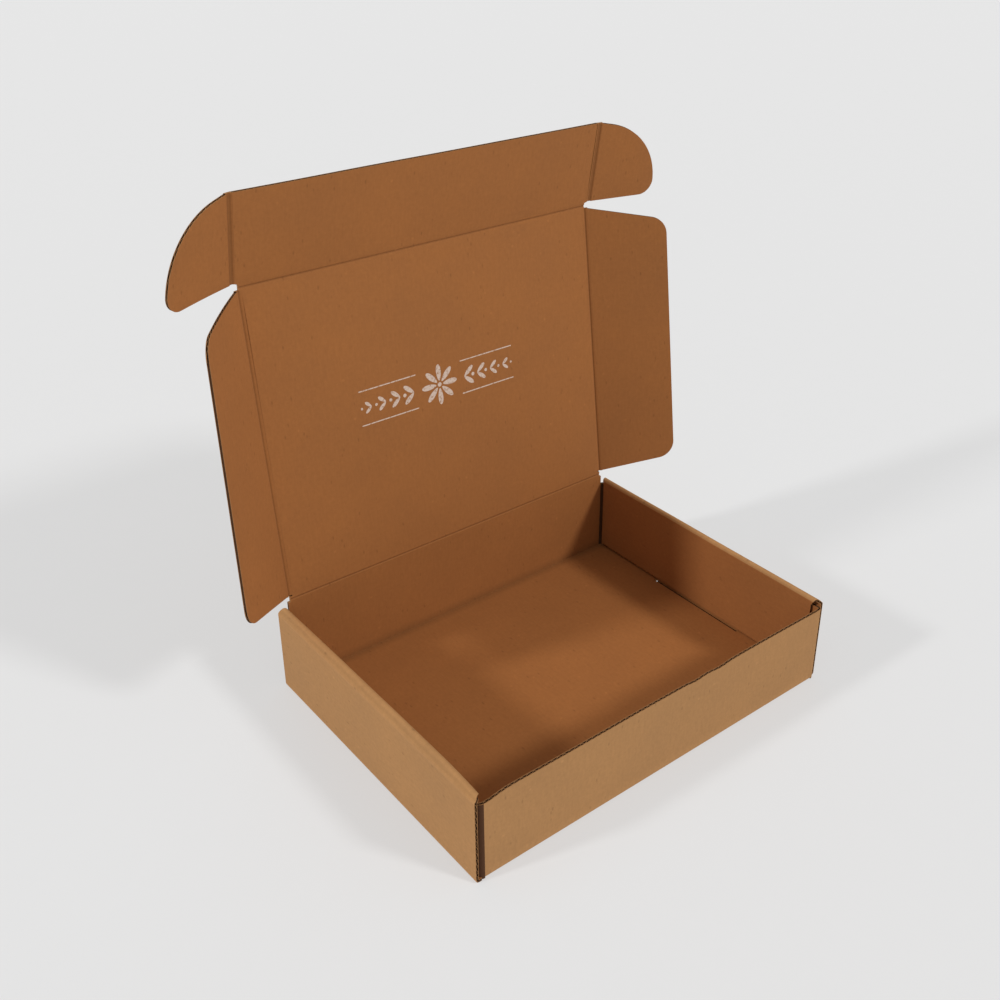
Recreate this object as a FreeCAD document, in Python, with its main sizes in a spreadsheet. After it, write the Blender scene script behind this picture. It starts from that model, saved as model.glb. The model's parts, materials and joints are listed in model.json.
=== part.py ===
"""A roll-end corrugated mailer box with its lid standing open.

The tray, its rolled side walls and its corner flaps are one folded sheet of board.
The lid, its two side flaps, the tuck flap and the tuck flap's two ears hang from
it, one behind the other, at creases.

Frame: millimetres, +Z up, the origin at the middle of the tray's underside,
the front wall on the -Y side and the lid's hinge crease on the +Y side.
"""
import FreeCAD, Part
import os
import Sketcher

Vector = FreeCAD.Vector
AXIS_X = Vector(1, 0, 0)
AXIS_Y = Vector(0, 1, 0)
SAME_PLACE = 1e-4

doc = FreeCAD.newDocument("mailer_box")
sizes = doc.addObject("Spreadsheet::Sheet", "sizes")

DRIVING_DIMENSIONS = [
    ("board", 1.5, "thickness of the corrugated board"),
    ("fold_radius", 1.3, "outer radius of the board where it is folded square"),
    ("corner_radius", 1.8, "outer radius of the front and back walls' upright corners"),
    ("crease_gap", 0.15, "each panel stops this far short of its crease line"),
    ("fit_gap", 0.15, "free space on each side of a board tucked into a hollow"),
    ("tray_width", 220, "across the outer side walls"),
    ("tray_depth", 165, "front wall to back wall, outside"),
    ("front_height", 43.4, "top of the front wall"),
    ("hinge_height", 51.4, "crease of the lid on the back wall's inner face"),
    ("side_height", 45.3, "outer crease of the rolled side walls"),
    ("roll_peak", 49.7, "where the roll's slope meets the inner face, before rounding"),
    ("crown_radius", 1.2, "rounding along the top of the roll"),
    ("roll_back_gap", 0.3, "between the roll's back end and the back wall"),
    ("roll_front_gap", 0.5, "between the folded ears and the roll's front end"),
    ("corner_flap_length", 45, "reach of the four corner flaps inside the side walls"),
    ("slot_length", 64, "floor slot for the side wall's locking tab"),
    ("tab_gap", 0.4, "between the locking tab and the ends and inner edge of its slot"),
    ("tab_recess", 0.2, "the locking tab stops this far above the underside"),
    ("lid_side_gap", 0.25, "between the closed side flaps and the side walls"),
    ("tuck_gap", 0.3, "between the closed tuck flap and the front wall"),
    ("flap_width", 45.5, "reach of the lid's side flaps from their crease"),
    ("flap_root", 2.2, "relief between a side flap and the lid's corners"),
    ("flap_end_slant", 10, "how far a side flap's ends lean in towards its free edge"),
    ("flap_corner", 10, "rounding of the side flaps' free corners"),
    ("tuck_depth", 46.5, "reach of the tuck flap from its crease"),
    ("tuck_side_gap", 0.55, "between the tuck flap's sides and the corner flaps"),
    ("ear_root", 2.4, "relief between an ear and the tuck flap's crease"),
    ("ear_width", 42.5, "reach of an ear from its crease"),
    ("ear_sweep", 33, "large rounding of an ear along the free edge"),
    ("ear_corner", 8, "small rounding of an ear at its lower edge"),
    ("lid_lean", 7, "degrees that the lid leans back from upright"),
    ("left_flap_fold", 40, "degrees that the left side flap is folded in"),
    ("right_flap_fold", 30, "degrees that the right side flap is folded in"),
    ("tuck_fold", 17, "degrees that the tuck flap is folded forward"),
    ("left_ear_fold", 20, "degrees that the left ear is folded in"),
    ("right_ear_fold", 11, "degrees that the right ear is folded in"),
]

for row, (alias, value, meaning) in enumerate(DRIVING_DIMENSIONS, start=1):
    sizes.set(f"A{row}", alias)
    sizes.set(f"B{row}", str(value))
    sizes.set(f"C{row}", meaning)
    sizes.setAlias(f"B{row}", alias)
doc.recompute()

# Places that several sub-parts share, worked out from the driving dimensions
BOARD = "sizes.board"
HALF_WIDTH = "(sizes.tray_width / 2)"
HALF_DEPTH = "(sizes.tray_depth / 2)"
OUTER_WALL_INSIDE = f"({HALF_WIDTH} - {BOARD})"
CORNER_FLAP_OUTSIDE = f"({OUTER_WALL_INSIDE} - sizes.fit_gap)"
CORNER_FLAP_INSIDE = f"({CORNER_FLAP_OUTSIDE} - {BOARD})"
HOLLOW_INSIDE = f"({CORNER_FLAP_INSIDE} - sizes.fit_gap)"
WALL_INNER_FACE = f"({HOLLOW_INSIDE} - {BOARD})"
BACK_INNER_FACE = f"({HALF_DEPTH} - {BOARD})"
FRONT_INNER_FACE = f"({HALF_DEPTH} - {BOARD})"
TUCK_INNER_FACE = f"({FRONT_INNER_FACE} - sizes.tuck_gap - {BOARD})"
ROLL_FRONT = f"({TUCK_INNER_FACE} - {BOARD} - sizes.roll_front_gap)"
ROLL_BACK = f"({BACK_INNER_FACE} - sizes.roll_back_gap)"

# The roll's slope, and the underside of its board inside the hollow
ROLL_SLOPE = f"((sizes.roll_peak - sizes.side_height) / ({HALF_WIDTH} - {WALL_INNER_FACE}))"
BOARD_ALONG_Z = f"({BOARD} * sqrt(1 + {ROLL_SLOPE} ^ 2))"


def ceiling_at(place):
    """Height of the hollow's sloping ceiling at a distance from the middle plane."""
    return f"(sizes.roll_peak - {ROLL_SLOPE} * ({place} - {WALL_INNER_FACE}) - {BOARD_ALONG_Z})"


CORNER_FLAP_TOP = f"({ceiling_at(CORNER_FLAP_OUTSIDE)} - 2 * sizes.fit_gap)"

LID_CREASE = f"({WALL_INNER_FACE} - sizes.lid_side_gap - {BOARD})"
LID_LENGTH = f"({BACK_INNER_FACE} + {TUCK_INNER_FACE})"
EAR_CREASE = f"({CORNER_FLAP_INSIDE} - sizes.tuck_side_gap)"


def number(expression):
    """The value of an expression in the sheet's names."""
    return float(sizes.evalExpression(expression))


def times(sign, expression):
    """An expression for the left (-1) or right (1) side of the box."""
    return f"{sign} * ({expression})"


def new_body(name):
    """An empty body whose label is its node's name."""
    body = doc.addObject("PartDesign::Body", name)
    body.Label = name
    return body


def origin_plane(body, role):
    """One of the body's own origin planes."""
    for feature in body.Origin.OriginFeatures:
        if feature.Role == role:
            return feature
    raise ValueError(f"{body.Label} has no plane {role}")


def add_sketch(body, name, role, outlines):
    """A sketch of closed straight-edged outlines, every corner bound to the sheet."""
    sketch = body.newObject("Sketcher::SketchObject", name)
    sketch.AttachmentSupport = [(origin_plane(body, role), "")]
    sketch.MapMode = "FlatFace"
    for corners in outlines:
        first = sketch.GeometryCount
        places = [Vector(number(across), number(up), 0) for across, up in corners]
        for index, place in enumerate(places):
            following = places[(index + 1) % len(places)]
            sketch.addGeometry(Part.LineSegment(place, following), False)
        for index, (across, up) in enumerate(corners):
            edge = first + index
            following_edge = first + (index + 1) % len(corners)
            sketch.addConstraint(Sketcher.Constraint("Coincident", edge, 2, following_edge, 1))
            bind_corner(sketch, "DistanceX", edge, across)
            bind_corner(sketch, "DistanceY", edge, up)
    return sketch


def bind_corner(sketch, kind, edge, expression):
    """Hold the start of an edge at a distance from the sketch's origin."""
    constraint = Sketcher.Constraint(kind, -1, 1, edge, 1, number(expression))
    index = sketch.addConstraint(constraint)
    sketch.setExpression(f"Constraints[{index}]", expression)


def rectangle(left, right, bottom, top):
    """The corners of an upright rectangle."""
    return [(left, bottom), (right, bottom), (right, top), (left, top)]


def add_pad(body, name, sketch, length, backward=None):
    """Board raised from a sketch along its normal, and also backward if asked."""
    pad = body.newObject("PartDesign::Pad", name)
    pad.Profile = sketch
    pad.setExpression("Length", length)
    if backward is not None:
        pad.SideType = "Two sides"
        pad.setExpression("Length2", backward)
    doc.recompute()
    return pad


def add_cut(body, name, sketch, depth=None):
    """A cut right through both ways, or to a depth along the sketch's normal."""
    volume_before = body.Shape.Volume
    cut = body.newObject("PartDesign::Pocket", name)
    cut.Profile = sketch
    if depth is None:
        cut.SideType = "Symmetric"
        cut.Type = "ThroughAll"
    else:
        cut.Reversed = True
        cut.setExpression("Length", depth)
    doc.recompute()
    if body.Shape.Volume >= volume_before:
        raise ValueError(f"{name} removed nothing from {body.Label}")
    return cut


def add_rounding(body, name, radius, chosen):
    """Fillet the edges for which chosen(middle, direction) is true."""
    carrier = body.Tip
    edge_names = []
    for index, edge in enumerate(carrier.Shape.Edges, start=1):
        if not isinstance(edge.Curve, Part.Line):
            continue
        first, last = [vertex.Point for vertex in edge.Vertexes]
        direction = (last - first).normalize()
        if chosen((first + last) * 0.5, direction):
            edge_names.append(f"Edge{index}")
    if not edge_names:
        raise ValueError(f"{name} found no edge on {body.Label}")
    fillet = body.newObject("PartDesign::Fillet", name)
    fillet.Base = (carrier, edge_names)
    fillet.setExpression("Radius", radius)
    doc.recompute()
    return fillet


def near(value, target):
    """Whether two coordinates are the same place."""
    return abs(value - target) < SAME_PLACE


# Tray: floor, four walls, rolled side walls and the corner flaps inside them

def add_rolled_side(body, side, label):
    """One double side wall: outer wall, sloping roll and inner wall."""
    roll = add_sketch(body, f"{label}_roll_outline", "XZ_Plane", [[
        (times(side, WALL_INNER_FACE), "0"),
        (times(side, HALF_WIDTH), "0"),
        (times(side, HALF_WIDTH), "sizes.side_height"),
        (times(side, WALL_INNER_FACE), "sizes.roll_peak"),
    ]])
    add_pad(body, f"{label}_roll", roll, ROLL_FRONT, ROLL_BACK)
    inner_face = side * number(WALL_INNER_FACE)
    peak = number("sizes.roll_peak")
    add_rounding(
        body, f"{label}_crown", "sizes.crown_radius",
        lambda middle, direction: near(middle.x, inner_face) and near(middle.z, peak),
    )
    hollow = add_sketch(body, f"{label}_hollow_outline", "XZ_Plane", [[
        (times(side, HOLLOW_INSIDE), BOARD),
        (times(side, OUTER_WALL_INSIDE), BOARD),
        (times(side, OUTER_WALL_INSIDE), ceiling_at(OUTER_WALL_INSIDE)),
        (times(side, HOLLOW_INSIDE), ceiling_at(HOLLOW_INSIDE)),
    ]])
    add_cut(body, f"{label}_hollow", hollow)


def add_outer_wall(body, side, label):
    """The outer side wall, which runs the whole depth of the tray."""
    wall = add_sketch(body, f"{label}_outer_wall_outline", "XZ_Plane", [[
        (times(side, OUTER_WALL_INSIDE), "0"),
        (times(side, HALF_WIDTH), "0"),
        (times(side, HALF_WIDTH), "sizes.side_height"),
        (times(side, OUTER_WALL_INSIDE), "sizes.side_height"),
    ]])
    add_pad(body, f"{label}_outer_wall", wall, HALF_DEPTH, HALF_DEPTH)


def add_end_wall(body, end, label, height):
    """The front (-1) or back (1) wall and the two corner flaps folded from its ends."""
    outer_face = times(end, HALF_DEPTH)
    inner_face = times(end, BACK_INNER_FACE)
    flap_end = times(end, f"{HALF_DEPTH} - sizes.corner_flap_length")
    left_outside = times(-1, CORNER_FLAP_OUTSIDE)
    left_inside = times(-1, CORNER_FLAP_INSIDE)
    folded = add_sketch(body, f"{label}_corner_flaps_outline", "XY_Plane", [[
        (left_outside, outer_face),
        (CORNER_FLAP_OUTSIDE, outer_face),
        (CORNER_FLAP_OUTSIDE, flap_end),
        (CORNER_FLAP_INSIDE, flap_end),
        (CORNER_FLAP_INSIDE, inner_face),
        (left_inside, inner_face),
        (left_inside, flap_end),
        (left_outside, flap_end),
    ]])
    add_pad(body, f"{label}_corner_flaps", folded, CORNER_FLAP_TOP)
    wall = add_sketch(body, f"{label}_wall_outline", "XY_Plane", [
        rectangle(left_outside, CORNER_FLAP_OUTSIDE, inner_face, outer_face),
    ])
    add_pad(body, f"{label}_wall", wall, height)


def build_tray():
    """The folded tray, one piece of board."""
    body = new_body("tray")
    floor = add_sketch(body, "floor_outline", "XY_Plane", [
        rectangle(times(-1, HALF_WIDTH), HALF_WIDTH, times(-1, HALF_DEPTH), HALF_DEPTH),
    ])
    add_pad(body, "floor", floor, BOARD)
    for side, label in ((-1, "left"), (1, "right")):
        add_rolled_side(body, side, label)
        add_outer_wall(body, side, label)
    add_end_wall(body, -1, "front", "sizes.front_height")
    add_end_wall(body, 1, "back", "sizes.hinge_height - sizes.crease_gap")
    round_upright_corners(body)
    bevel_hinge_edge(body)
    cut_tab_slots(body)
    round_bottom_folds(body)
    return body


def round_upright_corners(body):
    """Round the folds between the end walls and their corner flaps."""
    corner_x = number(CORNER_FLAP_OUTSIDE)
    corner_y = number(HALF_DEPTH)
    add_rounding(
        body, "upright_corners", "sizes.corner_radius",
        lambda middle, direction: near(abs(middle.x), corner_x)
        and near(abs(middle.y), corner_y) and near(abs(direction.z), 1),
    )


def bevel_hinge_edge(body):
    """Bevel the back wall's top outward, so that the lid can lie right back."""
    top = "(sizes.hinge_height - sizes.crease_gap)"
    bevel = add_sketch(body, "hinge_bevel_outline", "YZ_Plane", [[
        (BACK_INNER_FACE, top),
        (HALF_DEPTH, f"{top} - {BOARD}"),
        (f"{HALF_DEPTH} + {BOARD}", top),
    ]])
    add_cut(body, "hinge_bevel", bevel)


def cut_tab_slots(body):
    """Slots through the floor at the inner walls' feet, with the locking tabs in them."""
    slot_outlines = []
    tab_outlines = []
    for side in (-1, 1):
        slot_inner_edge = times(side, f"{WALL_INNER_FACE} - sizes.tab_gap")
        slot_outer_edge = times(side, f"{HOLLOW_INSIDE} + sizes.fit_gap")
        tab_inner_edge = times(side, WALL_INNER_FACE)
        tab_outer_edge = times(side, HOLLOW_INSIDE)
        half_slot = "(sizes.slot_length / 2)"
        half_tab = f"({half_slot} - sizes.tab_gap)"
        slot_outlines.append(
            rectangle(slot_inner_edge, slot_outer_edge, times(-1, half_slot), half_slot)
        )
        tab_outlines.append(
            rectangle(tab_inner_edge, tab_outer_edge, times(-1, half_tab), half_tab)
        )
    slots = add_sketch(body, "tab_slots_outline", "XY_Plane", slot_outlines)
    add_cut(body, "tab_slots", slots, BOARD)
    tabs = add_sketch(body, "locking_tabs_outline", "XY_Plane", tab_outlines)
    tabs.setExpression("AttachmentOffset.Base.z", "sizes.tab_recess")
    add_pad(body, "locking_tabs", tabs, f"{BOARD} * 2 - sizes.tab_recess")


def round_bottom_folds(body):
    """Round the folds along the floor's four sides."""
    side_x = number(HALF_WIDTH)
    end_y = number(HALF_DEPTH)
    add_rounding(
        body, "bottom_folds", "sizes.fold_radius",
        lambda middle, direction: near(middle.z, 0)
        and (near(abs(middle.x), side_x) or near(abs(middle.y), end_y)),
    )


# Lid panels: each has its inner face at Z = 0, its own crease through the origin
# and its outer face below. Along a crease the board is bevelled at 45 degrees, so that
# the panel can also fold backward.

def add_plate(body, corners):
    """A flat piece of board below Z = 0 with the given outline."""
    outline = add_sketch(body, f"{body.Label}_outline", "XY_Plane", [corners])
    plate = body.newObject("PartDesign::Pad", f"{body.Label}_board")
    plate.Profile = outline
    plate.Reversed = True
    plate.setExpression("Length", BOARD)
    doc.recompute()


def add_crease_bevel(body, name, role, edge, outward):
    """Bevel the outer side of the board along a crease edge; outward is 1 or -1."""
    bevel = add_sketch(body, f"{name}_outline", role, [[
        (edge, "0"),
        (f"({edge}) - {outward} * {BOARD}", f"-{BOARD}"),
        (f"({edge}) + {outward} * {BOARD}", f"-{BOARD}"),
    ]])
    add_cut(body, name, bevel)


def build_lid():
    """The lid's main panel, from the hinge crease to the tuck flap's crease."""
    body = new_body("lid")
    side_edge = f"({LID_CREASE} - sizes.crease_gap)"
    far_edge = f"({LID_LENGTH} - sizes.crease_gap)"
    add_plate(body, rectangle(times(-1, side_edge), side_edge, "sizes.crease_gap", far_edge))
    add_crease_bevel(body, "left_crease", "XZ_Plane", times(-1, side_edge), -1)
    add_crease_bevel(body, "right_crease", "XZ_Plane", side_edge, 1)
    add_crease_bevel(body, "hinge_crease", "YZ_Plane", "sizes.crease_gap", -1)
    add_crease_bevel(body, "tuck_crease", "YZ_Plane", far_edge, 1)
    return body


def build_side_flap(name, side):
    """A side flap of the lid: slanted ends and rounded free corners."""
    body = new_body(name)
    root = times(side, "sizes.crease_gap")
    free_edge = times(side, "sizes.flap_width")
    hinge_end = "(sizes.flap_root + sizes.flap_end_slant)"
    far_end = f"({LID_LENGTH} - sizes.flap_root - sizes.flap_end_slant)"
    add_plate(body, [
        (root, "sizes.flap_root"),
        (free_edge, hinge_end),
        (free_edge, far_end),
        (root, f"{LID_LENGTH} - sizes.flap_root"),
    ])
    add_crease_bevel(body, f"{name}_crease", "XZ_Plane", root, -side)
    free_x = side * number("sizes.flap_width")
    add_rounding(
        body, f"{name}_corners", "sizes.flap_corner",
        lambda middle, direction: near(middle.x, free_x) and near(abs(direction.z), 1),
    )
    return body


def build_tuck_flap():
    """The tuck flap, a little wider than the lid beyond its relief notches."""
    body = new_body("tuck_flap")
    crease_end = f"({LID_CREASE} - sizes.crease_gap)"
    side_edge = f"({EAR_CREASE} - sizes.crease_gap)"
    add_plate(body, [
        (times(-1, crease_end), "sizes.crease_gap"),
        (crease_end, "sizes.crease_gap"),
        (side_edge, "sizes.ear_root"),
        (side_edge, "sizes.tuck_depth"),
        (times(-1, side_edge), "sizes.tuck_depth"),
        (times(-1, side_edge), "sizes.ear_root"),
    ])
    add_crease_bevel(body, "tuck_root_crease", "YZ_Plane", "sizes.crease_gap", -1)
    add_crease_bevel(body, "left_ear_crease", "XZ_Plane", times(-1, side_edge), -1)
    add_crease_bevel(body, "right_ear_crease", "XZ_Plane", side_edge, 1)
    return body


def build_ear(name, side):
    """A rounded ear at one end of the tuck flap."""
    body = new_body(name)
    root = times(side, "sizes.crease_gap")
    tip = times(side, "sizes.ear_width")
    add_plate(body, rectangle(root, tip, "sizes.ear_root", "sizes.tuck_depth"))
    add_crease_bevel(body, f"{name}_crease", "XZ_Plane", root, -side)
    tip_x = side * number("sizes.ear_width")
    top_y = number("sizes.tuck_depth")
    bottom_y = number("sizes.ear_root")
    add_rounding(
        body, f"{name}_sweep", "sizes.ear_sweep",
        lambda middle, direction: near(middle.x, tip_x) and near(middle.y, top_y)
        and near(abs(direction.z), 1),
    )
    add_rounding(
        body, f"{name}_corner", "sizes.ear_corner",
        lambda middle, direction: near(middle.x, tip_x) and near(middle.y, bottom_y)
        and near(abs(direction.z), 1),
    )
    return body


# Placements: each panel is set at its crease on the panel that carries it

def turned(axis, degrees, place):
    """A placement that turns about an axis through a place."""
    return FreeCAD.Placement(place, FreeCAD.Rotation(axis, degrees))


def place_panels(lid, left_flap, right_flap, tuck, left_ear, right_ear):
    """Hang the lid on the back wall, and the flaps and ears at their creases."""
    hinge = Vector(0, number(BACK_INNER_FACE), number("sizes.hinge_height"))
    side_crease = Vector(number(LID_CREASE), 0, 0)
    tuck_crease = Vector(0, number(LID_LENGTH), 0)
    ear_crease = Vector(number(EAR_CREASE), 0, 0)
    lid.Placement = turned(AXIS_X, 90 - number("sizes.lid_lean"), hinge)
    left_flap.Placement = lid.Placement.multiply(
        turned(AXIS_Y, number("sizes.left_flap_fold"), -side_crease))
    right_flap.Placement = lid.Placement.multiply(
        turned(AXIS_Y, -number("sizes.right_flap_fold"), side_crease))
    tuck.Placement = lid.Placement.multiply(
        turned(AXIS_X, number("sizes.tuck_fold"), tuck_crease))
    left_ear.Placement = tuck.Placement.multiply(
        turned(AXIS_Y, number("sizes.left_ear_fold"), -ear_crease))
    right_ear.Placement = tuck.Placement.multiply(
        turned(AXIS_Y, -number("sizes.right_ear_fold"), ear_crease))


def check_document():
    """Stop if an object of the document failed to build."""
    for item in doc.Objects:
        if "Invalid" in item.State or "Error" in item.State:
            raise RuntimeError(f"{item.Label} is {item.State}")


def write_parts(bodies):
    """Write each sub-part's shape to its own file."""
    for body in bodies:
        shape = body.Shape
        if shape.isNull() or not shape.isValid() or len(shape.Solids) != 1:
            raise RuntimeError(f"{body.Label} is not one valid solid")
    os.makedirs("parts", exist_ok=True)
    for body in bodies:
        body.Shape.exportStep(f"parts/{body.Label}.step")
        print(body.Label, round(body.Shape.Volume), body.Shape.BoundBox)


tray_body = build_tray()
lid_body = build_lid()
left_flap_body = build_side_flap("left_side_flap", -1)
right_flap_body = build_side_flap("right_side_flap", 1)
tuck_body = build_tuck_flap()
left_ear_body = build_ear("left_ear", -1)
right_ear_body = build_ear("right_ear", 1)
place_panels(lid_body, left_flap_body, right_flap_body, tuck_body, left_ear_body, right_ear_body)
doc.recompute()
check_document()
write_parts([
    tray_body, lid_body, left_flap_body, right_flap_body, tuck_body, left_ear_body, right_ear_body,
])
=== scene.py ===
"""A corrugated mailer box, standing open, modelled as folded sheets of fluted board."""

import json
import math

import bpy
from mathutils import Matrix, Vector, noise


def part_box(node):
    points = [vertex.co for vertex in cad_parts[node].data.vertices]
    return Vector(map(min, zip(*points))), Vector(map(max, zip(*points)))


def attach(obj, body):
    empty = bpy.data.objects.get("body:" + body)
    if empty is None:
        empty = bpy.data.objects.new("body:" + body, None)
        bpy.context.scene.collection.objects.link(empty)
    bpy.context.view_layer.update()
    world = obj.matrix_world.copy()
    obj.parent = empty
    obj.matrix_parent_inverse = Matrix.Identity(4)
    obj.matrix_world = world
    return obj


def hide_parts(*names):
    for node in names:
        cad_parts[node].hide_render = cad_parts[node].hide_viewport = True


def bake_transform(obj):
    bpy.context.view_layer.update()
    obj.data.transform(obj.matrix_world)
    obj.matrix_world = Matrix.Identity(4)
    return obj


MM = 0.001
RIGHT_ANGLE = math.pi / 2
UP = Vector((0, 0, 1))

# The board, the fluted sheet inside it, and half the breadth of a bending crease
BOARD = 1.5 * MM
LINER = 0.24 * MM
FAR_LINER = LINER - BOARD
MEDIUM = 0.2 * MM
FLUTE_PITCH = 3.3 * MM
FLUTE_DEPTH = 4 * MM
EDGE_GROOVE = 0.22 * MM
CREASE = 1.65 * MM

# How finely faces are drawn: columns across the flutes, arcs, and the last stretch before a free edge
COLUMN = FLUTE_PITCH / 6
BEND_STEPS = 6
ARC_STEPS = 24
EDGE_ZONE = 1.2 * MM
EDGE_STEPS = 10

# How far the painted shade beside a fold fades, and the slow unevenness of the board
MARK_FADE = 0.9 * MM
WAVES_PER_METRE = 16
BOW_MARGIN = 20 * MM

# The kinds of face, in the order of board_materials; the turned-in outer liner has a darker brown and the last
# kind is a dark brown for flute hollows, gaps and shaded folds, both painted shade
INNER, OUTER, CUT, SHADED_TURNED_IN, PAINTED_SHADE = 0, 1, 2, 3, 4

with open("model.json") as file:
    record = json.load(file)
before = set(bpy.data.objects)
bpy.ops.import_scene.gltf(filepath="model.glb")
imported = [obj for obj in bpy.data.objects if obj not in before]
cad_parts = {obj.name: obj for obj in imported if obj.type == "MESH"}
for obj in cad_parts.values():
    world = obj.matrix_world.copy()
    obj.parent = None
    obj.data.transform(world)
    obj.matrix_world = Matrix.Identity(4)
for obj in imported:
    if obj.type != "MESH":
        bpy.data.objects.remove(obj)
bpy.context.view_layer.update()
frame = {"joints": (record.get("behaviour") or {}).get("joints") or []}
joints = {joint["name"]: joint for joint in frame["joints"]}


# Places and angles of the creases, from the frame

def joint_place(name):
    return Vector(joints[name]["pos_m"])


def folded_in(name, closed):
    """How far a flap is folded in at rest, in radians."""
    return math.radians(closed - joints[name]["range_deg"][1])


_, tray_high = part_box("tray")
half_width, half_depth = tray_high.x, tray_high.y
hinge = joint_place("lid_hinge")
tuck_root = joint_place("tuck_flap_fold")
lean = folded_in("lid_hinge", 90)
tuck_fold = folded_in("tuck_flap_fold", 90)
side_folds = {-1: folded_in("left_side_flap_fold", 90), 1: folded_in("right_side_flap_fold", 90)}
ear_folds = {-1: folded_in("left_ear_fold", 175), 1: folded_in("right_ear_fold", 175)}
lid_crease = joint_place("right_side_flap_fold").x
ear_crease = joint_place("right_ear_fold").x
lid_length = (tuck_root - hinge).length

# Tray: heights, inner faces of its layers, and how far its panels reach from the middle
back_face = hinge.y
front_face = -back_face
wall_top = 43.4 * MM
back_top = hinge.z - CREASE
back_corner_top = 44.1 * MM
layer_gap = 0.15 * MM
outer_inside = half_width - BOARD
corner_inside = outer_inside - BOARD - layer_gap
floor_edge = 104.4 * MM
wall_edge = 103.4 * MM
slot_half = 32 * MM
roll_front, roll_back = -77.2 * MM, 79.2 * MM

# Flaps and ears: those with a key for each side differ between left (-1) and right (1)
flap_width, flap_root, flap_corner = 45.5 * MM, 2.2 * MM, 10 * MM
upper_root, upper_slant = 1.2 * MM, 10.8 * MM
lower_slant = {-1: 9 * MM, 1: 4.5 * MM}
tuck_depth = 46.5 * MM
ear_root, ear_rise, ear_corner = 2.2 * MM, 0.8 * MM, 8 * MM
ear_width, ear_shoulder, ear_drop, ear_sweep = 40.7 * MM, 36 * MM, 6.5 * MM, 38 * MM
flap_curl, ear_curl = {-1: 5 * MM, 1: 0.0}, {-1: 2 * MM, 1: 0.0}
panel_bow = 0.5 * MM
ear_clear = 0.3 * MM
crease_half = lid_crease - 0.3 * MM

across = Vector((1, 0, 0))


def turned(along, normal, angle):
    """A direction and its inner normal, folded towards the normal."""
    cos, sin = math.cos(angle), math.sin(angle)
    return along * cos + normal * sin, normal * cos - along * sin


lid_along, lid_normal = turned(UP, Vector((0, -1, 0)), lean)
tuck_along, tuck_normal = turned(lid_along, lid_normal, tuck_fold)


# Board

class Sheet:
    """The faces of one piece of board."""

    def __init__(self):
        self.points, self.faces, self.kinds, self.uvs, self.marks = [], [], [], [], []

    def grid(self, rows, kind, outward):
        """Add a grid of (point, uv, mark) entries that faces outward."""
        start, width = len(self.points), len(rows[0])
        for row in rows:
            for point, uv, mark in row:
                self.points.append(point)
                self.uvs.append(uv)
                self.marks.append(mark)
        middle, side = len(rows) // 2, width // 2
        here = rows[middle - 1][side - 1][0]
        normal = (rows[middle - 1][side][0] - here).cross(rows[middle][side - 1][0] - here)
        flip = normal.dot(outward) < 0
        for j in range(len(rows) - 1):
            for i in range(width - 1):
                first = start + j * width + i
                face = (first, first + 1, first + 1 + width, first + width)
                self.faces.append(face[::-1] if flip else face)
                self.kinds.append(kind)

    def build(self, name, body, materials, node=None):
        mesh = bpy.data.meshes.new(name)
        mesh.from_pydata(self.points, [], self.faces)
        layer = mesh.uv_layers.new(name="sheet")
        layer.data.foreach_set("uv", [c for loop in mesh.loops for c in self.uvs[loop.vertex_index]])
        # The crease attribute tells the materials where to paint shade, and on the outer liner a highlight,
        # along the folds
        marks = mesh.attributes.new("crease", "FLOAT", "POINT")
        marks.data.foreach_set("value", self.marks)
        for material in materials:
            mesh.materials.append(material)
        mesh.polygons.foreach_set("material_index", self.kinds)
        mesh.polygons.foreach_set("use_smooth", [kind not in (CUT, PAINTED_SHADE) for kind in self.kinds])
        mesh.validate()
        piece = bpy.data.objects.new(name, mesh)
        bpy.context.scene.collection.objects.link(piece)
        if node:
            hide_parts(node)
        if body:
            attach(piece, body)
        return piece


def medium_height(s):
    """The middle of the fluted sheet between the liners."""
    swing = BOARD / 2 - LINER - MEDIUM / 2
    return -BOARD / 2 + swing * math.sin(2 * math.pi * s / FLUTE_PITCH)


def near_middle(values):
    """The value at the middle of a list, or just before it."""
    return values[max(len(values) // 2 - 1, 0)]


def clamped(value):
    return min(1.0, max(0.0, value))


def eased(share):
    return share * share * (3 - 2 * share)


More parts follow.
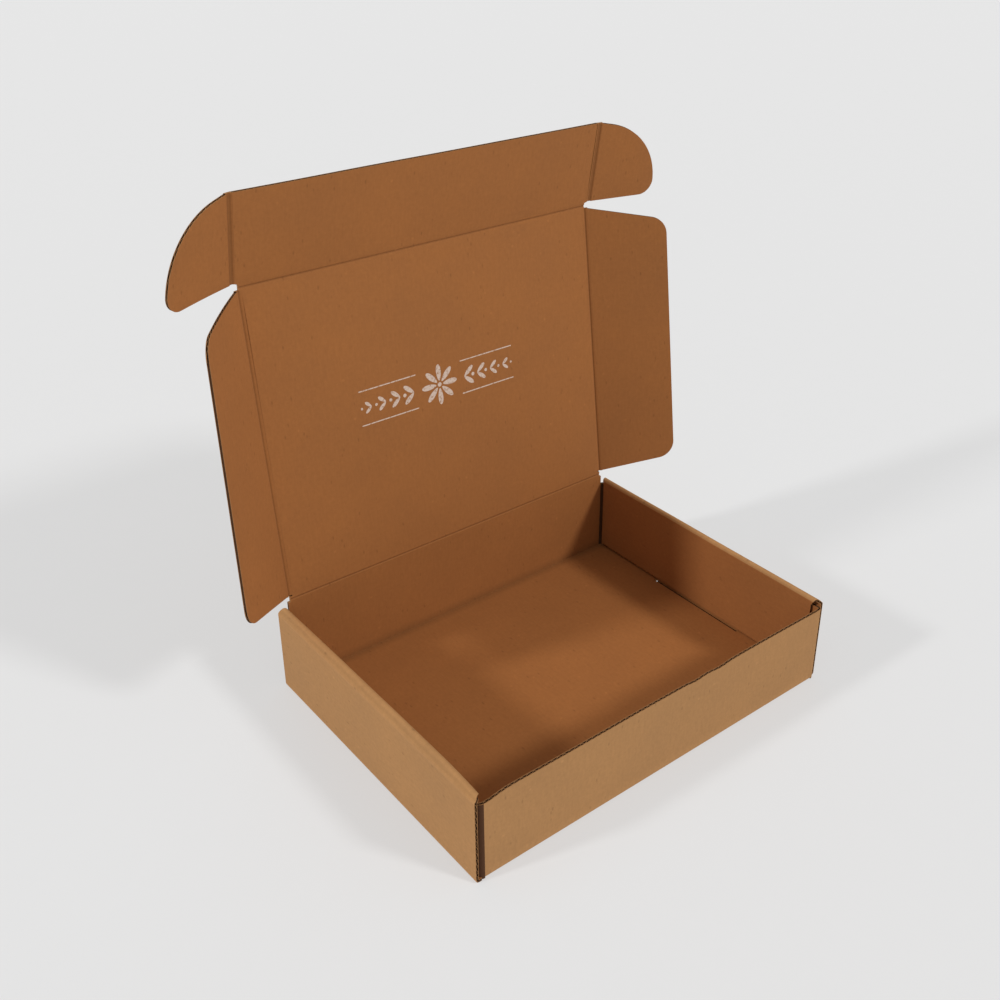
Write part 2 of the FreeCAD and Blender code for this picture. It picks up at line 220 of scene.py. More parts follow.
def add_board(sheet, place, columns, fractions, low="open", high="open", sides=(True, True),
              mark=lambda s, v: 0.0, shift=(0.0, 0.0), inner=INNER, outer=OUTER):
    """Two liners, with open flutes or a closed strip at the low and high edges, and channels at the sides.

    A column is (s, lowest v, highest v). The flutes run along v, and n is the height above the inner face."""
    def entry(s, v, n):
        return place(s, v, n), (s + shift[0], v + shift[1]), mark(s, v)

    at = near_middle(columns)
    v = at[1] + (at[2] - at[1]) * near_middle(fractions)
    for n, kind in ((0.0, inner), (-BOARD, outer)):
        rows = [[entry(s, a + (b - a) * f, n) for f in fractions] for s, a, b in columns]
        sheet.grid(rows, kind, place(at[0], v, n) - place(at[0], v, -BOARD / 2))

    for style, edge, sign in ((low, 1, -1), (high, 2, 1)):
        outward = place(at[0], at[edge] + sign * MM, -BOARD / 2) - place(at[0], at[edge], -BOARD / 2)
        upward = place(at[0], at[edge], 0) - place(at[0], at[edge], -BOARD)

        def strip(levels, direction, kind=CUT):
            """Faces through levels of (depth behind the edge, height); a height may follow s."""
            rows = []
            for column in columns:
                s, half = column[0], (column[2] - column[1]) / 2
                rows.append([entry(s, column[edge] - sign * min(depth, half), n(s) if callable(n) else n)
                             for depth, n in levels])
            sheet.grid(rows, kind, direction)

        if style == "closed":
            strip([(0, 0), (0, -BOARD)], outward)
            continue
        strip([(0, 0), (0, -LINER)], outward)
        strip([(0, FAR_LINER), (0, -BOARD)], outward)
        # The flutes' hollows behind an open edge are drawn in painted shade
        strip([(0, -LINER), (FLUTE_DEPTH, -LINER)], -upward, PAINTED_SHADE)
        strip([(0, FAR_LINER), (FLUTE_DEPTH, FAR_LINER)], upward, PAINTED_SHADE)
        strip([(FLUTE_DEPTH, -LINER), (FLUTE_DEPTH, FAR_LINER)], outward, PAINTED_SHADE)
        inset = EDGE_GROOVE / 2
        over, under = (lambda s: medium_height(s) + MEDIUM / 2), (lambda s: medium_height(s) - MEDIUM / 2)
        strip([(inset, over), (FLUTE_DEPTH, over)], upward, PAINTED_SHADE)
        strip([(inset, under), (FLUTE_DEPTH, under)], -upward, PAINTED_SHADE)
        strip([(inset, over), (inset, under)], outward)

    # The channels at the sides are drawn in painted shade
    channel = [(0, -LINER), (EDGE_GROOVE, -LINER), (EDGE_GROOVE, FAR_LINER), (0, FAR_LINER)]
    profiles = (([(0, 0), (0, -LINER)], CUT), (channel, PAINTED_SHADE), ([(0, FAR_LINER), (0, -BOARD)], CUT))
    for index, wanted, sign in ((0, sides[0], -1), (-1, sides[1], 1)):
        if not wanted:
            continue
        s, a, b = columns[index]
        v = (a + b) / 2
        outward = place(s + sign * MM, v, 0) - place(s, v, 0)
        for profile, kind in profiles:
            rows = [[entry(s - sign * depth, a + (b - a) * f, n) for f in fractions] for depth, n in profile]
            sheet.grid(rows, kind, outward)


def steps(low, high, size):
    """Even steps from low to high, none longer than size."""
    count = max(1, math.ceil((high - low) / size - 1e-6))
    return [low + (high - low) * k / count for k in range(count + 1)]


class Path:
    """A folded line: straight runs and left-hand bends, measured along the middle of the board.

    A run is its length. A bend is (radians, inner radius)."""

    def __init__(self, start, heading, *moves):
        self.parts, self.length = [], 0.0
        point = Vector(start)
        for move in moves:
            if isinstance(move, tuple):
                angle, radius = move
                centre = point + radius * Vector((-math.sin(heading), math.cos(heading)))
                size = (radius + BOARD / 2) * angle
                self.parts.append((self.length, size, heading, centre, radius, angle))
                heading += angle
                point = centre - radius * Vector((-math.sin(heading), math.cos(heading)))
            else:
                size = move
                self.parts.append((self.length, size, heading, point, None, None))
                point = point + move * Vector((math.cos(heading), math.sin(heading)))
            self.length += size

    def at(self, s, n):
        """The point at s, n above the inner face."""
        part = self.parts[0]
        for candidate in self.parts:
            if s >= candidate[0]:
                part = candidate
        start, size, heading, origin, radius, angle = part
        if radius is None:
            along = Vector((math.cos(heading), math.sin(heading)))
            up = Vector((-along.y, along.x))
            return origin + along * (s - start) + up * n
        heading += angle * (s - start) / size
        return origin - (radius - n) * Vector((-math.sin(heading), math.cos(heading)))

    def stops(self, low, high, run):
        """Places to sample between low and high, closer together in the bends."""
        found = {low, high}
        for start, size, _, _, radius, _ in self.parts:
            step = run if radius is None else size / BEND_STEPS
            found.update(s for s in steps(start, start + size, step) if low < s < high)
        ordered = sorted(found)
        return [s for i, s in enumerate(ordered) if i == 0 or s - ordered[i - 1] > 1e-7]

    def bends(self):
        return [(start, start + size) for start, size, _, _, radius, _ in self.parts if radius is not None]


def with_columns(stops):
    """The stops, with more between them so that the flutes are drawn smoothly."""
    filled = [stops[0]]
    for a, b in zip(stops, stops[1:]):
        filled.extend(steps(a, b, COLUMN)[1:])
    return filled


def near_bend(path):
    """A mark for painted shade that is 1 on the folds of a path and fades beside them."""
    bends = path.bends()

    def mark(distance):
        gap = min(max(low - distance, distance - high, 0.0) for low, high in bends)
        return max(0.0, 1.0 - gap / MARK_FADE)
    return mark


def wave(a, b, seed, size):
    """Slow unevenness of the board's surface."""
    return size * noise.noise(Vector((a * WAVES_PER_METRE, b * WAVES_PER_METRE, seed)))


# Materials

def linear(red, green, blue):
    """A screen colour, 0 to 255, as linear values for a shader."""
    values = []
    for value in (red, green, blue):
        c = value / 255
        values.append(c / 12.92 if c <= 0.04045 else ((c + 0.055) / 1.055) ** 2.4)
    return (*values, 1.0)


def grey(value):
    return (value, value, value, 1.0)


class Nodes:
    """Short forms for building a material's nodes."""

    def __init__(self, name):
        self.material = bpy.data.materials.new(name)
        self.material.use_nodes = True
        self.tree = self.material.node_tree
        self.shader = self.tree.nodes["Principled BSDF"]

    def put(self, socket, value):
        """Link another socket to this one, or set its value."""
        if isinstance(value, bpy.types.NodeSocket):
            self.tree.links.new(value, socket)
        else:
            socket.default_value = value

    def add(self, kind, inputs=None, **settings):
        node = self.tree.nodes.new(kind)
        for key, value in settings.items():
            setattr(node, key, value)
        for key, value in (inputs or {}).items():
            self.put(node.inputs[key], value)
        return node

    def coordinates(self, kind):
        return self.add("ShaderNodeTexCoord").outputs[kind]

    def ramp(self, factor, *stops):
        """Greys between two stops of (position, brightness)."""
        node = self.add("ShaderNodeValToRGB", {"Fac": factor})
        for element, (position, brightness) in zip(node.color_ramp.elements, stops):
            element.position = position
            element.color = grey(brightness)
        return node.outputs["Color"]

    def mix(self, factor, first, second, blend="MIX"):
        node = self.add("ShaderNodeMix", data_type="RGBA", blend_type=blend)
        for socket, value in zip((node.inputs[0], node.inputs[6], node.inputs[7]), (factor, first, second)):
            self.put(socket, value)
        return node.outputs[2]

    def shaded(self, colour, factor, *stops):
        """A colour multiplied by a ramp of greys."""
        return self.mix(1.0, colour, self.ramp(factor, *stops), "MULTIPLY")

    def noise(self, vector, scale, detail, rough=0.6):
        return self.add("ShaderNodeTexNoise", {"Vector": vector, "Scale": scale, "Detail": detail,
                                               "Roughness": rough}).outputs["Fac"]

    def cells(self, vector, scale):
        return self.add("ShaderNodeTexVoronoi", {"Vector": vector, "Scale": scale,
                                                 "Randomness": 1.0}).outputs["Distance"]

    def stretched(self, vector, scale):
        return self.add("ShaderNodeMapping", {"Vector": vector, "Scale": scale}).outputs["Vector"]

    def finish(self, colour, roughness, height, strength):
        bump = self.add("ShaderNodeBump", {"Height": height, "Strength": strength, "Distance": 0.1 * MM})
        for name, value in (("Base Color", colour), ("Normal", bump.outputs["Normal"]),
                            ("Roughness", roughness), ("Specular IOR Level", 0.22)):
            self.put(self.shader.inputs[name], value)
        return self.material


def kraft_liner(name, base, crease_shade):
    """Brown paper: clouds, pulp, fibres along the rolls, dark and light specks, and painted shade along the
    folds (a painted highlight where crease_shade is above 1).
    """
    nodes = Nodes(name)
    uv = nodes.coordinates("UV")
    clouds = nodes.noise(uv, 22, 4)
    pulp = nodes.noise(uv, 520, 3, 0.7)
    fibre = nodes.noise(nodes.stretched(uv, (1.0, 0.16, 1.0)), 900, 2)
    dark_specks = nodes.cells(nodes.stretched(uv, (1.0, 0.45, 1.0)), 210)
    light_specks = nodes.cells(uv, 95)
    fold_shade_mark = nodes.add("ShaderNodeAttribute", attribute_name="crease").outputs["Fac"]
    colour = nodes.shaded(base, clouds, (0.25, 0.93), (0.75, 1.05))
    colour = nodes.shaded(colour, pulp, (0.3, 0.94), (0.7, 1.05))
    colour = nodes.shaded(colour, fibre, (0.3, 0.96), (0.7, 1.03))
    colour = nodes.shaded(colour, dark_specks, (0.05, 0.8), (0.13, 1))
    colour = nodes.shaded(colour, light_specks, (0.04, 1.14), (0.09, 1))
    # Painted shade along the folds where crease_shade is below 1, a painted highlight where it is above
    colour = nodes.shaded(colour, fold_shade_mark, (0.0, 1), (1.0, crease_shade))
    ribs = nodes.add("ShaderNodeTexWave", {"Vector": uv, "Scale": 1 / FLUTE_PITCH / 3.2, "Distortion": 0.4},
                     bands_direction="X").outputs["Fac"]
    height = nodes.mix(0.12, pulp, ribs)
    return nodes.finish(colour, nodes.ramp(clouds, (0.3, 0.78), (0.7, 0.9)), height, 0.22)


def cut_board(name):
    """The raw edge: the fluted sheet and the cut liners."""
    nodes = Nodes(name)
    grain = nodes.noise(nodes.coordinates("UV"), 1400, 3)
    colour = nodes.shaded(linear(158, 114, 72), grain, (0.3, 0.72), (0.7, 1.15))
    return nodes.finish(colour, nodes.ramp(grain, (0.3, 0.82), (0.7, 0.95)), grain, 0.4)


def pale_ink():
    """Thin pale print that leaves specks of the brown paper bare."""
    nodes = Nodes("pale_ink")
    grain = nodes.noise(nodes.coordinates("UV"), 700, 3, 0.7)
    cover = nodes.ramp(grain, (0.34, 0), (0.5, 1))
    colour = nodes.mix(cover, linear(172, 132, 104), linear(212, 190, 174))
    return nodes.finish(colour, nodes.ramp(grain, (0.3, 0.7), (0.7, 0.85)), grain, 0.3)


def pale_ground():
    """A floor that gives off part of its light, which keeps the shadows on it faint."""
    nodes = Nodes("pale_ground")
    grain = nodes.noise(nodes.coordinates("Object"), 60, 3)
    colour = nodes.shaded(grey(0.33), grain, (0.3, 0.99), (0.7, 1.0))
    nodes.put(nodes.shader.inputs["Emission Color"], STUDIO_WHITE)
    nodes.put(nodes.shader.inputs["Emission Strength"], 0.6)
    return nodes.finish(colour, 0.9, grain, 0.05)


STUDIO_WHITE = linear(226, 226, 226)
# The inside brown is the outside's made darker and redder, mostly painted shade; the turned-in outer liner
# takes a like shaded brown. crease_shade below 1 paints shade on the folds, above 1 a highlight
inside = kraft_liner("kraft_inside", linear(158, 101, 54), crease_shade=0.74)
outside = kraft_liner("kraft_outside", linear(169, 125, 80), crease_shade=1.1)
shaded_turned_in = kraft_liner("kraft_shaded_turned_in", linear(154, 99, 54), crease_shade=1.05)
cut_edge = cut_board("kraft_cut_edge")
# A dark brown of painted shade for flute hollows, gaps and shaded folds
painted_shade = kraft_liner("kraft_painted_shade", linear(76, 47, 26), crease_shade=0.7)
board_materials = [inside, outside, cut_edge, shaded_turned_in, painted_shade]


# Tray

tight = 0.2 * MM
floor_start = wall_top - BOARD - tight
back_rise = back_top - BOARD - tight
depth_path = Path((front_face, wall_top), -RIGHT_ANGLE, floor_start, (RIGHT_ANGLE, tight),
                  2 * (back_face - tight), (RIGHT_ANGLE, tight), back_rise)
depth_mark = near_bend(depth_path)
# Dents in the front wall's top edge: place, half breadth and depth
dents = ((18 * MM, 5 * MM, 0.7 * MM), (34 * MM, 6 * MM, 0.8 * MM), (-wall_edge, 7 * MM, 1.5 * MM))
front_bow = 0.3 * MM


def crush(x):
    """How far the front wall's top edge is dented at x."""
    return sum(depth * math.exp(-((x - at) / size) ** 2) for at, size, depth in dents)


def place_depth(s, v, n):
    """The front wall, floor and back wall."""
    y, z = depth_path.at(v, n)
    if v < floor_start:
        share = 1 - v / floor_start
        z -= crush(s) * share ** 3
        y += wave(s, v, 1.3, front_bow) * share
    return Vector((s, y, z))


def mark_depth(s, v):
    return depth_mark(v)


tray_sheet = Sheet()
depth_stops = depth_path.stops(0, depth_path.length, 5 * MM)
add_board(tray_sheet, place_depth,
          [(s, 0, depth_path.length) for s in steps(-wall_edge, wall_edge, COLUMN)],
          [v / depth_path.length for v in depth_stops], high="closed", mark=mark_depth)
floor_end = depth_path.length - back_rise
floor_middle = (floor_start + floor_end) / 2
slot_start, slot_end = floor_middle - slot_half, floor_middle + slot_half
floor_reach = corner_inside - 0.05 * MM
corner_relief = 3 * MM
front_radius, back_radius = {-1: 1.6 * MM, 1: 1.0 * MM}, 1.7 * MM
for side in (-1, 1):
    # Outward from the walls' ends: floor and back wall; floor ahead of the slot; that floor's edge, cut
    # back at the front corner; floor behind the slot
    bend_start = corner_inside - front_radius[side]
    for inboard, outboard, start, end in (
            (wall_edge, floor_edge, floor_start, depth_path.length),
            (floor_edge, bend_start, floor_start, slot_start),
            (bend_start, floor_reach, floor_start + corner_relief, slot_start),
            (floor_edge, floor_reach, slot_end, floor_end)):
        low, high = sorted((side * inboard, side * outboard))
        stops = depth_path.stops(start, end, 8 * MM)
        add_board(tray_sheet, place_depth, [(s, start, end) for s in steps(low, high, COLUMN)],
                  [(v - start) / (end - start) for v in stops], low="closed", high="closed", mark=mark_depth)
tray_sheet.build("tray_floor_and_walls", "tray", board_materials, "tray")


# Corner flaps, folded in from the ends of the front and back walls

corner_reach = 45 * MM
corner_low, front_corner_low = BOARD + 0.1 * MM, 0.3 * MM


def corner_line(start, radius):
    """From the end of a wall round the corner and along the side wall."""
    return Path((start, front_face), 0, corner_inside - radius - start, (RIGHT_ANGLE, radius),
                corner_reach - (half_depth - back_face) - radius)


corner_flaps = Sheet()
back_corner = corner_line(floor_edge, back_radius)
for side in (-1, 1):
    front_corner = corner_line(wall_edge, front_radius[side])
    front_corner_top = wall_top - crush(side * wall_edge)
    # end is 1 at the front and -1 at the back; the left front corner's bend, which lies in its own shade, and
    # the back corners' inner faces are drawn in painted shade
    for end, top, line, bend_low, inner, bend_outer in (
            (1, front_corner_top, front_corner, front_corner_low, INNER, PAINTED_SHADE if side < 0 else OUTER),
            (-1, back_corner_top, back_corner, corner_low, PAINTED_SHADE, OUTER)):
        def place_corner(s, v, n, side=side, end=end, line=line):
            x, y = line.at(s, n)
            return Vector((side * x, end * y, v))

        turn = line.parts[1][0]
        for start, stop, low, sides, outer in (
                (0, turn, corner_low, (end < 0, False), OUTER),
                (turn, line.length, bend_low, (False, True), bend_outer)):
            stops = with_columns(line.stops(start, stop, COLUMN))
            add_board(corner_flaps, place_corner, [(s, low, top) for s in stops], steps(0, 1, 0.12),
                      low="closed", sides=sides, inner=inner, outer=outer)
corner_flaps.build("tray_corner_flaps", "tray", board_materials)


# Side walls: up from the floor, over the sloping roll and down inside to a tab in the floor's slot

crease_height, crown_height = 44.64 * MM, 46.7 * MM
fold_radius = 0.12 * MM
floor_gap, tab_run = 0.35 * MM, 1.6 * MM
roll_rise, roll_breadth = crown_height - crease_height, outer_inside - corner_inside + layer_gap
outer_turn = RIGHT_ANGLE - math.atan2(roll_rise, roll_breadth)
crown_turn = math.pi - outer_turn
outer_cut, crown_cut = fold_radius * math.tan(outer_turn / 2), fold_radius * math.tan(crown_turn / 2)
side_path = Path((corner_inside, BOARD), 0,
                 outer_inside - corner_inside - tight, (RIGHT_ANGLE, tight),
                 crease_height - BOARD - tight - outer_cut, (outer_turn, fold_radius),
                 math.hypot(roll_rise, roll_breadth) - outer_cut - crown_cut, (crown_turn, fold_radius),
                 crown_height - crown_cut - BOARD - floor_gap, tab_run)
crease_start, slope_start, _, panel_start, tab_start = (part[0] for part in side_path.parts[3:])
side_mark = near_bend(side_path)
side_end_gap = {-1: 0.05 * MM, 1: 1.6 * MM}
side_bow, side_bow_start, side_bow_end = 0.35 * MM, 4 * MM, 30 * MM
set_back_run = 3 * MM
crown_sag, crown_sag_reach = 2.2 * MM, 30 * MM
tab_set, tab_set_run = 0.9 * MM, 0.6 * MM
panel_lift, lift_start, lift_reach = 0.55 * MM, -40 * MM, 110 * MM
tab_play = 0.4 * MM
slot_shade_sheet_height, slot_shade_sheet_short = 0.12 * MM, 0.9 * MM


def build_side_wall(name, side):
    wall = Sheet()
    reach = half_depth - side_end_gap[side]

    def place_side(s, v, n):
        """The wall's outline, uneven along the roll, with its tab set outward and its panel's foot rising."""
        x, z = side_path.at(s, n)
        if s >= crease_start:
            share = clamped((s - crease_start) / side_bow_start) * clamped((tab_start - s) / side_bow_end)
            z += share * wave(v, side * 0.3, 4.1, side_bow)
            if side < 0:
                z -= share * crown_sag * max(0.0, 1 - (v + half_depth) / crown_sag_reach) ** 2
            x += share * wave(v, side * 0.7, 6.4, side_bow)
        x += tab_set * clamped((s - tab_start + tab_set_run) / tab_set_run)
        lowered = clamped((s - panel_start) / (tab_start - panel_start))
        z += panel_lift * lowered * clamped((v - lift_start) / lift_reach)
        return Vector((side * x, v, z))

    def mark_side(s, v):
        return side_mark(s)

    def wall_span(s):
        return s, -reach, reach

    def roll_span(s):
        """The roll's ends: flush on top, set back inside."""
        share = eased(clamped((s - slope_start) / (panel_start + set_back_run - slope_start)))
        return s, -reach + (reach + roll_front) * share, reach - (reach - roll_back) * share

    # The inner panel and tab show outer liner turned into the box, drawn in a shaded brown: painted shade
    for start, end, span, sides, outer in (
            (0, crease_start, wall_span, (True, True), OUTER),
            (crease_start, panel_start, roll_span, (True, False), OUTER),
            (panel_start, tab_start, roll_span, (False, True), SHADED_TURNED_IN)):
        stops = with_columns(side_path.stops(start, end, COLUMN))
        add_board(wall, place_side, [span(s) for s in stops], steps(0, 1, 0.04),
                  mark=mark_side, shift=(half_width, 0), sides=sides, outer=outer)
    tab_half = slot_half - tab_play
    tab_stops = with_columns(side_path.stops(tab_start, side_path.length, COLUMN))
    add_board(wall, place_side, [(s, -tab_half, tab_half) for s in tab_stops], steps(0, 1, 0.2),
              shift=(half_width, 0), sides=(False, True), outer=SHADED_TURNED_IN)
    # A sheet of painted shade low in the slot, which hides the ground but for the slot's back end
    slot_shade_sheet = [[(Vector((side * x, v, slot_shade_sheet_height)), (side * x, v), 0.0)
                for v in (-slot_half, slot_half - slot_shade_sheet_short)] for x in (floor_edge, floor_reach)]
    wall.grid(slot_shade_sheet, PAINTED_SHADE, UP)
    wall.build(name, "tray", board_materials)


build_side_wall("tray_left_side_wall", -1)
build_side_wall("tray_right_side_wall", 1)


# Lid, flaps and ears

def rounded(corners):
    """Points along an outline whose corners are (x, y, radius)."""
    points = []
    for i, (x, y, radius) in enumerate(corners):
        here = Vector((x, y))
        before = (Vector(corners[i - 1][:2]) - here).normalized()
        after = (Vector(corners[(i + 1) % len(corners)][:2]) - here).normalized()
        if radius == 0:
            points.append(here)
            continue
        half = before.angle(after) / 2
        centre = here + (before + after).normalized() * radius / math.sin(half)
        first, last = here + before * radius / math.tan(half), here + after * radius / math.tan(half)
        start = math.atan2(first.y - centre.y, first.x - centre.x)
        sweep = math.atan2(last.y - centre.y, last.x - centre.x) - start
        sweep = (sweep + math.pi) % (2 * math.pi) - math.pi
        for k in range(ARC_STEPS + 1):
            angle = start + sweep * k / ARC_STEPS
            points.append(centre + radius * Vector((math.cos(angle), math.sin(angle))))
    return points


def outline_columns(corners, low, high):
    """Columns between low and high that fill an outline, close together towards its free edge."""
    outline = rounded(corners)
    stops = steps(low, high - EDGE_ZONE, COLUMN)[:-1]
    stops += [high - EDGE_ZONE * (1 - k / EDGE_STEPS) ** 2 for k in range(EDGE_STEPS + 1)]
    columns = []
    for s in stops:
        s = min(s, high - 1e-7)
        crossings = []
        for a, b in zip(outline, outline[1:] + outline[:1]):
            if (a.x - s) * (b.x - s) <= 0 and abs(a.x - b.x) > 1e-12:
                crossings.append(a.y + (b.y - a.y) * (s - a.x) / (b.x - a.x))
        columns.append((s, min(crossings), max(crossings)))
    return columns


def place_lid(s, v, n):
    bow = wave(s, v, 9.2, panel_bow) * min(1.0, v / BOW_MARGIN, (lid_length - v) / BOW_MARGIN)
    return hinge + across * s + lid_along * v + lid_normal * (n + bow)


# Where the lid's and the tuck flap's roots lie on the unfolded sheet, for the grain of the paper
lid_on_sheet = half_depth + hinge.z
tuck_on_sheet = lid_on_sheet + lid_length
lid_sheet = Sheet()
panel_half = lid_crease - CREASE
add_board(lid_sheet, place_lid,
          [(s, CREASE, lid_length - CREASE) for s in steps(-panel_half, panel_half, COLUMN)],
          steps(0, 1, 0.045), low="closed", high="closed", shift=(0, lid_on_sheet))
lid_sheet.build("lid_panel", "lid", board_materials, "lid")


def build_side_flap(name, side):
    along, normal = turned(across * side, lid_normal, side_folds[side])
    root = hinge + across * (side * lid_crease)

    def place(s, v, n):
        curl = flap_curl[side] * v / lid_length * (s / flap_width) ** 2
        return root + along * s + lid_along * v + normal * (n + curl)

    top = lid_length - upper_root
    corners = [(0, flap_root, 0), (flap_width, flap_root + lower_slant[side], flap_corner),
               (flap_width, top - upper_slant, flap_corner), (0, top, 0)]
    flap = Sheet()
    add_board(flap, place, outline_columns(corners, CREASE, flap_width), steps(0, 1, 0.05),
              shift=(side * lid_crease, lid_on_sheet))
    flap.build(name + "_panel", name, board_materials, name)


build_side_flap("left_side_flap", -1)
build_side_flap("right_side_flap", 1)


def place_tuck(s, v, n):
    bow = wave(s, v, 12.7, panel_bow) * min(1.0, v / BOW_MARGIN)
    return tuck_root + across * s + tuck_along * v + tuck_normal * (n + bow)


def tuck_start(s):
    """The tuck flap's lower edge, cut back beside the lid's crease."""
    beyond = max(0.0, abs(s) - crease_half) / (ear_crease - lid_crease)
    return CREASE + min(1.0, beyond) * (ear_root - CREASE + ear_clear)


tuck_sheet = Sheet()
tuck_half = ear_crease - CREASE
add_board(tuck_sheet, place_tuck,
          [(s, tuck_start(s), tuck_depth) for s in steps(-tuck_half, tuck_half, COLUMN)],
          steps(0, 1, 0.08), low="closed", shift=(0, tuck_on_sheet))
tuck_sheet.build("tuck_flap_panel", "tuck_flap", board_materials, "tuck_flap")


def build_ear(name, side):
    along, normal = turned(across * side, tuck_normal, ear_folds[side])
    root = tuck_root + across * (side * ear_crease)

    def place(s, v, n):
        curl = ear_curl[side] * (s / ear_width) ** 2
        return root + along * s + tuck_along * v + normal * (n + curl)

    corners = [(0, ear_root, 0), (ear_width, ear_root + ear_rise, ear_corner),
               (ear_shoulder, tuck_depth - ear_drop, ear_sweep), (0, tuck_depth, 0)]
    reach = max(point.x for point in rounded(corners))
    ear = Sheet()
    add_board(ear, place, outline_columns(corners, CREASE, reach), steps(0, 1, 0.08),
              shift=(side * ear_crease, tuck_on_sheet))
    ear.build(name + "_panel", name, board_materials, name)


build_ear("left_ear", -1)
build_ear("right_ear", 1)


# Creases: scored strips of board, bent round as at rest

groove_depth, ridge_height = 0.42 * MM, 0.18 * MM
single, double = (0.0,), (-0.5 * MM, 0.5 * MM)
groove_breadth = {single: 0.38 * MM, double: 0.55 * MM}


def build_crease(name, axis_start, axis_along, low, high, outward, normal, fold, grooves):
    """A strip along an axis, from the parent's plane round to the child's."""
    strip = Sheet()

    def place(s, u, n):
        share = clamped((u + CREASE) / (2 * CREASE))
        along, up = turned(outward, normal, fold * eased(share))
        return axis_start + axis_along * s + along * u + up * n

    def groove(u):
        return sum(math.exp(-((u - at) / groove_breadth[grooves]) ** 2) for at in grooves)

    def scored(s, u, face):
        """A point of the grooved inner face or of the ridged outer face."""
        depth = -groove_depth if face == 0 else ridge_height
        return place(s, u, face + depth * groove(u))

    widths = steps(-CREASE, CREASE, CREASE / 9)
    lengths = steps(low, high, 3 * MM)
    k, u = near_middle(lengths), near_middle(widths)
    for face, kind in ((0.0, INNER), (-BOARD, OUTER)):
        # The grooves' mark paints shade along the crease, and a highlight on the outer liner
        rows = [[(scored(s, w, face), (s, w), min(1.0, groove(w))) for w in widths] for s in lengths]
        strip.grid(rows, kind, place(k, u, face) - place(k, u, -BOARD / 2))
    for s, sign in ((low, -1), (high, 1)):
        rows = [[(scored(s, w, 0.0), (s, w), 0.0), (scored(s, w, -BOARD), (s + BOARD, w), 0.0)] for w in widths]
        strip.grid(rows, CUT, axis_along * sign)
    piece = strip.build(name, None, board_materials)
    beyond, _ = turned(outward, normal, fold)
    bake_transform(piece)


build_crease("lid_hinge_crease", hinge, across, -crease_half, crease_half,
             UP, Vector((0, -1, 0)), lean, single)
build_crease("tuck_crease", tuck_root, across, -crease_half, crease_half,
             lid_along, lid_normal, tuck_fold, single)
for side, word in ((-1, "left"), (1, "right")):
    build_crease(word + "_side_flap_crease", hinge + across * (side * lid_crease),
                 lid_along, flap_root, lid_length - upper_root, across * side, lid_normal, side_folds[side],
                 single)
    build_crease(word + "_ear_crease", tuck_root + across * (side * ear_crease),
                 tuck_along, ear_root, tuck_depth, across * side, tuck_normal, ear_folds[side], double)


# Pale ornament on the lid's inner face

ornament = Sheet()
ink_height = 0.03 * MM


def add_shape(points):
    """A flat inked shape around its first point."""
    start = len(ornament.points)
    for x, r in points:
        ornament.points.append(place_lid(x, r, ink_height))
        ornament.uvs.append((x, r))
        ornament.marks.append(0.0)
    for k in range(1, len(points)):
        follower = k + 1 if k + 1 < len(points) else 1
        ornament.faces.append((start, start + k, start + follower))
        ornament.kinds.append(0)


def add_leaf(x, r, angle, length, width):
    """A pointed leaf from (x, r), in the direction of the angle."""
    cos, sin = math.cos(angle), math.sin(angle)
    rim = []
    for k in range(20):
        turn = 2 * math.pi * k / 20
        along = length / 2 * (1 - math.cos(turn))
        side = width / 2 * math.sin(turn) * math.sin(turn / 2) ** 0.4
        rim.append((x + along * cos - side * sin, r + along * sin + side * cos))
    add_shape([(x + length / 2 * cos, r + length / 2 * sin)] + rim)


def add_dot(x, r, radius):
    rim = [(x + radius * math.cos(math.pi * k / 8), r + radius * math.sin(math.pi * k / 8)) for k in range(16)]
    add_shape([(x, r)] + rim)


def add_rule(x0, x1, r, width):
    """A thin line in short lengths, so that it follows the lid's bow."""
    ends = steps(x0, x1, 4 * MM)
    low, high = r - width / 2, r + width / 2
    for a, b in zip(ends, ends[1:]):
        add_shape([((a + b) / 2, r), (a, low), (b, low), (b, high), (a, high)])


# A flower of eight petals, and on each side a row of leaf pairs between two rules
centre_x, centre_r = -2 * MM, 86 * MM
petals, petal_root, petal_length, petal_width = 8, 2 * MM, 9 * MM, 3.4 * MM
eye_radius = 1.2 * MM
leaf_pairs, first_pair, pair_gap, leaf_angle = 4, 16 * MM, 8.5 * MM, 0.7
leaf_length, leaf_width, leaf_shorter, leaf_narrower = 7.5 * MM, 2.8 * MM, 1 * MM, 0.3 * MM
dot_place, dot_radius, dot_smaller = 5.6 * MM, 1 * MM, 0.12 * MM
rule_start, rule_end, rule_offset, rule_width = 14 * MM, 48 * MM, 9 * MM, 0.6 * MM

for k in range(petals):
    heading = 2 * math.pi * k / petals
    add_leaf(centre_x + petal_root * math.cos(heading), centre_r + petal_root * math.sin(heading), heading,
             petal_length, petal_width)
add_dot(centre_x, centre_r, eye_radius)
for side in (-1, 1):
    heading = 0 if side > 0 else math.pi
    for k in range(leaf_pairs):
        x = centre_x + side * (first_pair + pair_gap * k)
        for sign in (-1, 1):
            add_leaf(x, centre_r, heading + sign * leaf_angle,
                     leaf_length - leaf_shorter * k, leaf_width - leaf_narrower * k)
        add_dot(x + side * dot_place, centre_r, dot_radius - dot_smaller * k)
    for sign in (-1, 1):
        add_rule(*sorted((centre_x + side * rule_start, centre_x + side * rule_end)),
                 centre_r + sign * rule_offset, rule_width)
ornament.build("lid_ornament", "lid", [pale_ink()])


# Ground, light and camera

bpy.ops.mesh.primitive_grid_add(x_subdivisions=8, y_subdivisions=8, size=14, location=(0, 0, 0))
ground = bpy.context.object
ground.name = "ground"
ground.data.materials.append(pale_ground())


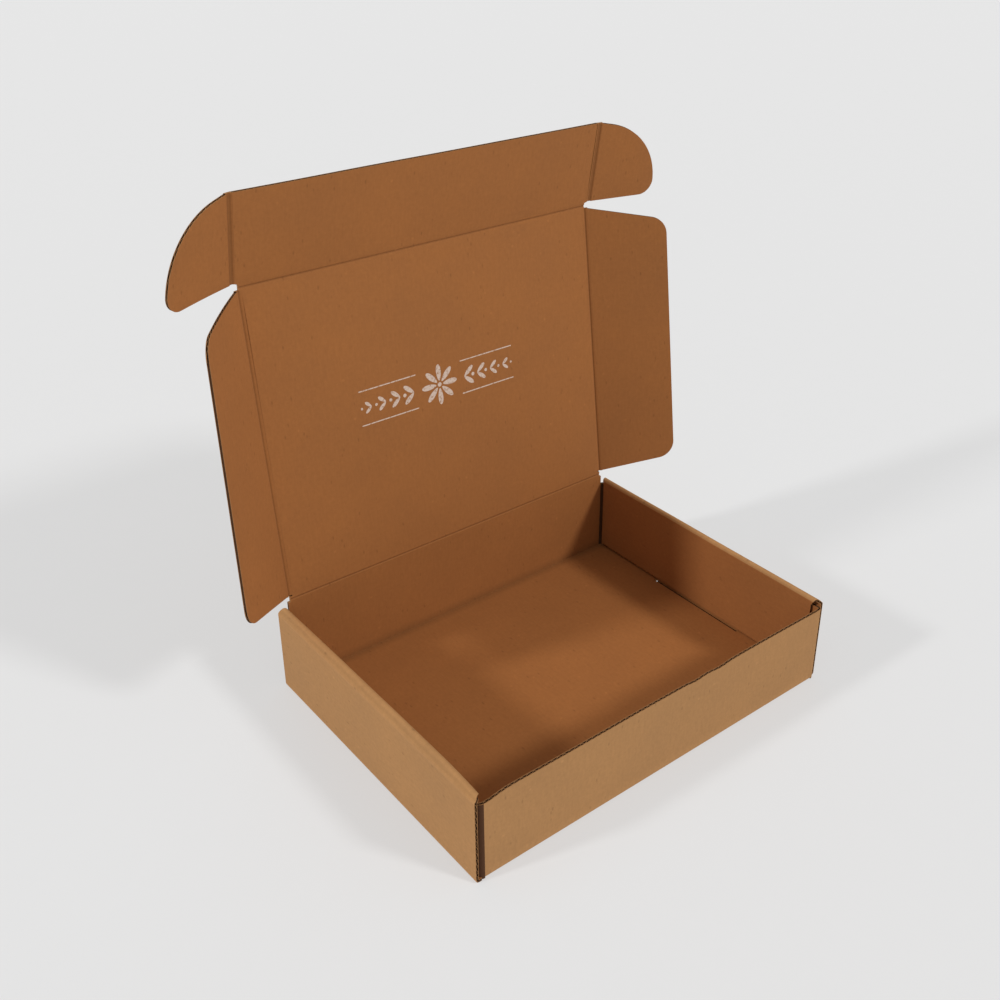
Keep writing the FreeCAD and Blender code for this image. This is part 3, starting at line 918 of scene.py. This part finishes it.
def add_sun(name, azimuth, elevation, strength, softness):
    """A broad distant light; azimuth is measured from -Y towards +X, as the light is seen from the box."""
    lamp = bpy.data.lights.new(name, "SUN")
    lamp.energy = strength
    lamp.angle = math.radians(softness)
    holder = bpy.data.objects.new(name, lamp)
    a, e = math.radians(azimuth), math.radians(elevation)
    towards = Vector((math.sin(a) * math.cos(e), -math.cos(a) * math.cos(e), math.sin(e)))
    holder.rotation_euler = towards.to_track_quat("Z", "Y").to_euler()
    bpy.context.scene.collection.objects.link(holder)


add_sun("left_softbox", azimuth=-103, elevation=29, strength=1.38, softness=6)
add_sun("front_softbox", azimuth=28, elevation=38, strength=1.4, softness=9)

# The world lights the scene with a grey; the camera and reflections see the studio's white
world = bpy.data.worlds.new("studio")
bpy.context.scene.world = world
world.use_nodes = True
tree = world.node_tree
rays = tree.nodes.new("ShaderNodeLightPath")
seen = rays.outputs["Is Camera Ray"]
for kind in ("Is Glossy Ray", "Is Transmission Ray"):
    either = tree.nodes.new("ShaderNodeMath")
    either.operation = "MAXIMUM"
    tree.links.new(seen, either.inputs[0])
    tree.links.new(rays.outputs[kind], either.inputs[1])
    seen = either.outputs[0]
shade = tree.nodes.new("ShaderNodeMix")
shade.data_type = "RGBA"
tree.links.new(seen, shade.inputs[0])
shade.inputs[6].default_value = grey(0.47)
shade.inputs[7].default_value = STUDIO_WHITE
sky = tree.nodes["Background"]
tree.links.new(shade.outputs[2], sky.inputs["Color"])
sky.inputs["Strength"].default_value = 1.0

# Camera, from a fit to the photo's corners; picture places are in pixels of a 1000-pixel square
PIXELS, SENSOR = 1000, 36
focal_pixels, centre_across, centre_down = 1190.0, 520.4, 427.7
heading, tilt, roll = math.radians(38.34), math.radians(-26.92), math.radians(0.08)
camera_data = bpy.data.cameras.new("camera")
camera = bpy.data.objects.new("camera", camera_data)
bpy.context.scene.collection.objects.link(camera)
bpy.context.scene.camera = camera
camera.location = (-0.3176, -0.3753, 0.3967)
forward = Vector((math.sin(heading) * math.cos(tilt), math.cos(heading) * math.cos(tilt), math.sin(tilt)))
level = forward.cross(UP).normalized()
right = level * math.cos(roll) - level.cross(forward) * math.sin(roll)
camera.rotation_euler = Matrix((right, right.cross(forward), -forward)).transposed().to_euler()
camera_data.sensor_width = SENSOR
camera_data.lens = SENSOR * focal_pixels / PIXELS
camera_data.shift_x = -(centre_across - PIXELS / 2) / PIXELS
camera_data.shift_y = (centre_down - PIXELS / 2) / PIXELS
camera_data.clip_start, camera_data.clip_end = 0.01, 50

bpy.context.scene.view_settings.view_transform = "Standard"
